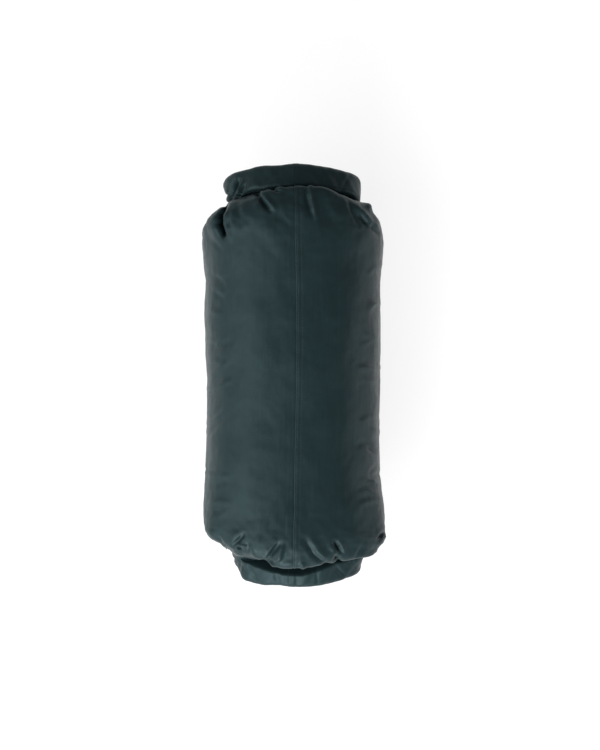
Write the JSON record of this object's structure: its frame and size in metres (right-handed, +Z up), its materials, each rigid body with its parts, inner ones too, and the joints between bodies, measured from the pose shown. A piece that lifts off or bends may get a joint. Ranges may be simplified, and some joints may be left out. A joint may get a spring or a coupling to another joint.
{
  "type": "compression sack",
  "caption": "Double-ended roll-top compression sack, stuffed, its rolled ends bent into rings and clipped with side-release buckles.",
  "frame": {"origin": "on the floor under the middle of the sack", "axes": "+X across the sack, +Y along it towards the head end, +Z up out of the front seam"},
  "size_m": [0.1972, 0.463, 0.1688],
  "materials": {
    "coated_nylon": "plain weave, thin coating, soft sheen",
    "seam_tape": "smooth heat-bonded tape",
    "thread": "matt twisted thread",
    "stiffener_strip": "smooth",
    "webbing": "ribbed flat weave",
    "buckle_acetal": "fine moulded grain"
  },
  "bodies": {
    "sack": {"back_seam_allowance": "coated_nylon", "back_seam_tape": "seam_tape", "back_seam_thread": "thread", "foot_stiffener_center": "stiffener_strip", "foot_wraps_center": "coated_nylon", "front_seam_allowance": "coated_nylon", "front_seam_tape": "seam_tape", "front_seam_thread": "thread", "head_stiffener_center": "stiffener_strip", "head_wraps_center": "coated_nylon", "left_panel": "coated_nylon", "right_panel": "coated_nylon"},
    "head_right_arm": {"head_wraps_right": "coated_nylon", "head_stiffener_right": "stiffener_strip", "head_right_tab_root": "webbing"},
    "head_socket_half": {"head_female_buckle": "buckle_acetal", "head_right_web_loop": "webbing", "head_right_bar_tack": "thread"},
    "head_left_arm": {"head_wraps_left": "coated_nylon", "head_stiffener_left": "stiffener_strip", "head_left_tab_root": "webbing"},
    "head_plug_half": {"head_male_buckle": "buckle_acetal", "head_left_web_loop": "webbing", "head_left_bar_tack": "thread"},
    "head_outer_prong_arm": {"head_outer_prong": "buckle_acetal"},
    "head_inner_prong_arm": {"head_inner_prong": "buckle_acetal"},
    "foot_left_arm": {"foot_wraps_left": "coated_nylon", "foot_stiffener_left": "stiffener_strip", "foot_left_tab_root": "webbing"},
    "foot_socket_half": {"foot_female_buckle": "buckle_acetal", "foot_left_web_loop": "webbing", "foot_left_bar_tack": "thread"},
    "foot_right_arm": {"foot_wraps_right": "coated_nylon", "foot_stiffener_right": "stiffener_strip", "foot_right_tab_root": "webbing"},
    "foot_plug_half": {"foot_male_buckle": "buckle_acetal", "foot_right_web_loop": "webbing", "foot_right_bar_tack": "thread"},
    "foot_outer_prong_arm": {"foot_outer_prong": "buckle_acetal"},
    "foot_inner_prong_arm": {"foot_inner_prong": "buckle_acetal"}
  },
  "joints": [
    {"name": "head_right_arm_swing", "type": "hinge", "parent": "sack", "child": "head_right_arm", "pos_m": [0.07205, 0.20708, 0.11609], "axis": [0, -0.9063, 0.4226], "range_deg": [0, 65], "deforming": ["head_outer_prong", "head_inner_prong"]},
    {"name": "head_socket_half_turn", "type": "hinge", "parent": "head_right_arm", "child": "head_socket_half", "pos_m": [0.04729, 0.1748, 0.04686], "axis": [0, 0.9063, -0.4226], "range_deg": [0, 65]},
    {"name": "head_left_arm_swing", "type": "hinge", "parent": "sack", "child": "head_left_arm", "pos_m": [-0.07205, 0.20708, 0.11609], "axis": [0, 0.9063, -0.4226], "range_deg": [0, 65]},
    {"name": "head_plug_half_turn", "type": "hinge", "parent": "head_left_arm", "child": "head_plug_half", "pos_m": [-0.04729, 0.1748, 0.04686], "axis": [0, -0.9063, 0.4226], "range_deg": [0, 65]},
    {"name": "head_outer_prong_squeeze", "type": "hinge", "parent": "head_plug_half", "child": "head_outer_prong_arm", "pos_m": [-0.0051, 0.1825, 0.04326], "axis": [0, -0.4226, -0.9063], "range_deg": [0, 8.5], "stiffness_Nm_per_rad": 0.3},
    {"name": "head_inner_prong_squeeze", "type": "hinge", "parent": "head_plug_half", "child": "head_inner_prong_arm", "pos_m": [-0.0051, 0.16709, 0.05045], "axis": [0, 0.4226, 0.9063], "range_deg": [0, 8.5], "stiffness_Nm_per_rad": 0.3},
    {"name": "foot_left_arm_swing", "type": "hinge", "parent": "sack", "child": "foot_left_arm", "pos_m": [-0.07205, -0.20708, 0.10009], "axis": [0, 0.9063, 0.4226], "range_deg": [0, 65], "deforming": ["foot_outer_prong", "foot_inner_prong"]},
    {"name": "foot_socket_half_turn", "type": "hinge", "parent": "foot_left_arm", "child": "foot_socket_half", "pos_m": [-0.04729, -0.1748, 0.03086], "axis": [0, -0.9063, -0.4226], "range_deg": [0, 65]},
    {"name": "foot_right_arm_swing", "type": "hinge", "parent": "sack", "child": "foot_right_arm", "pos_m": [0.07205, -0.20708, 0.10009], "axis": [0, -0.9063, -0.4226], "range_deg": [0, 65]},
    {"name": "foot_plug_half_turn", "type": "hinge", "parent": "foot_right_arm", "child": "foot_plug_half", "pos_m": [0.04729, -0.1748, 0.03086], "axis": [0, 0.9063, 0.4226], "range_deg": [0, 65]},
    {"name": "foot_outer_prong_squeeze", "type": "hinge", "parent": "foot_plug_half", "child": "foot_outer_prong_arm", "pos_m": [0.0051, -0.1825, 0.02726], "axis": [0, 0.4226, -0.9063], "range_deg": [0, 8.5], "stiffness_Nm_per_rad": 0.3},
    {"name": "foot_inner_prong_squeeze", "type": "hinge", "parent": "foot_plug_half", "child": "foot_inner_prong_arm", "pos_m": [0.0051, -0.16709, 0.03445], "axis": [0, -0.4226, 0.9063], "range_deg": [0, 8.5], "stiffness_Nm_per_rad": 0.3}
  ],
  "couplings": [
    {"joint": "head_socket_half_turn", "follows": "head_right_arm_swing", "ratio": 1},
    {"joint": "head_left_arm_swing", "follows": "head_right_arm_swing", "ratio": 1},
    {"joint": "head_plug_half_turn", "follows": "head_right_arm_swing", "ratio": 1},
    {"joint": "head_inner_prong_squeeze", "follows": "head_outer_prong_squeeze", "ratio": 1},
    {"joint": "foot_socket_half_turn", "follows": "foot_left_arm_swing", "ratio": 1},
    {"joint": "foot_right_arm_swing", "follows": "foot_left_arm_swing", "ratio": 1},
    {"joint": "foot_plug_half_turn", "follows": "foot_left_arm_swing", "ratio": 1},
    {"joint": "foot_inner_prong_squeeze", "follows": "foot_outer_prong_squeeze", "ratio": 1}
  ]
}
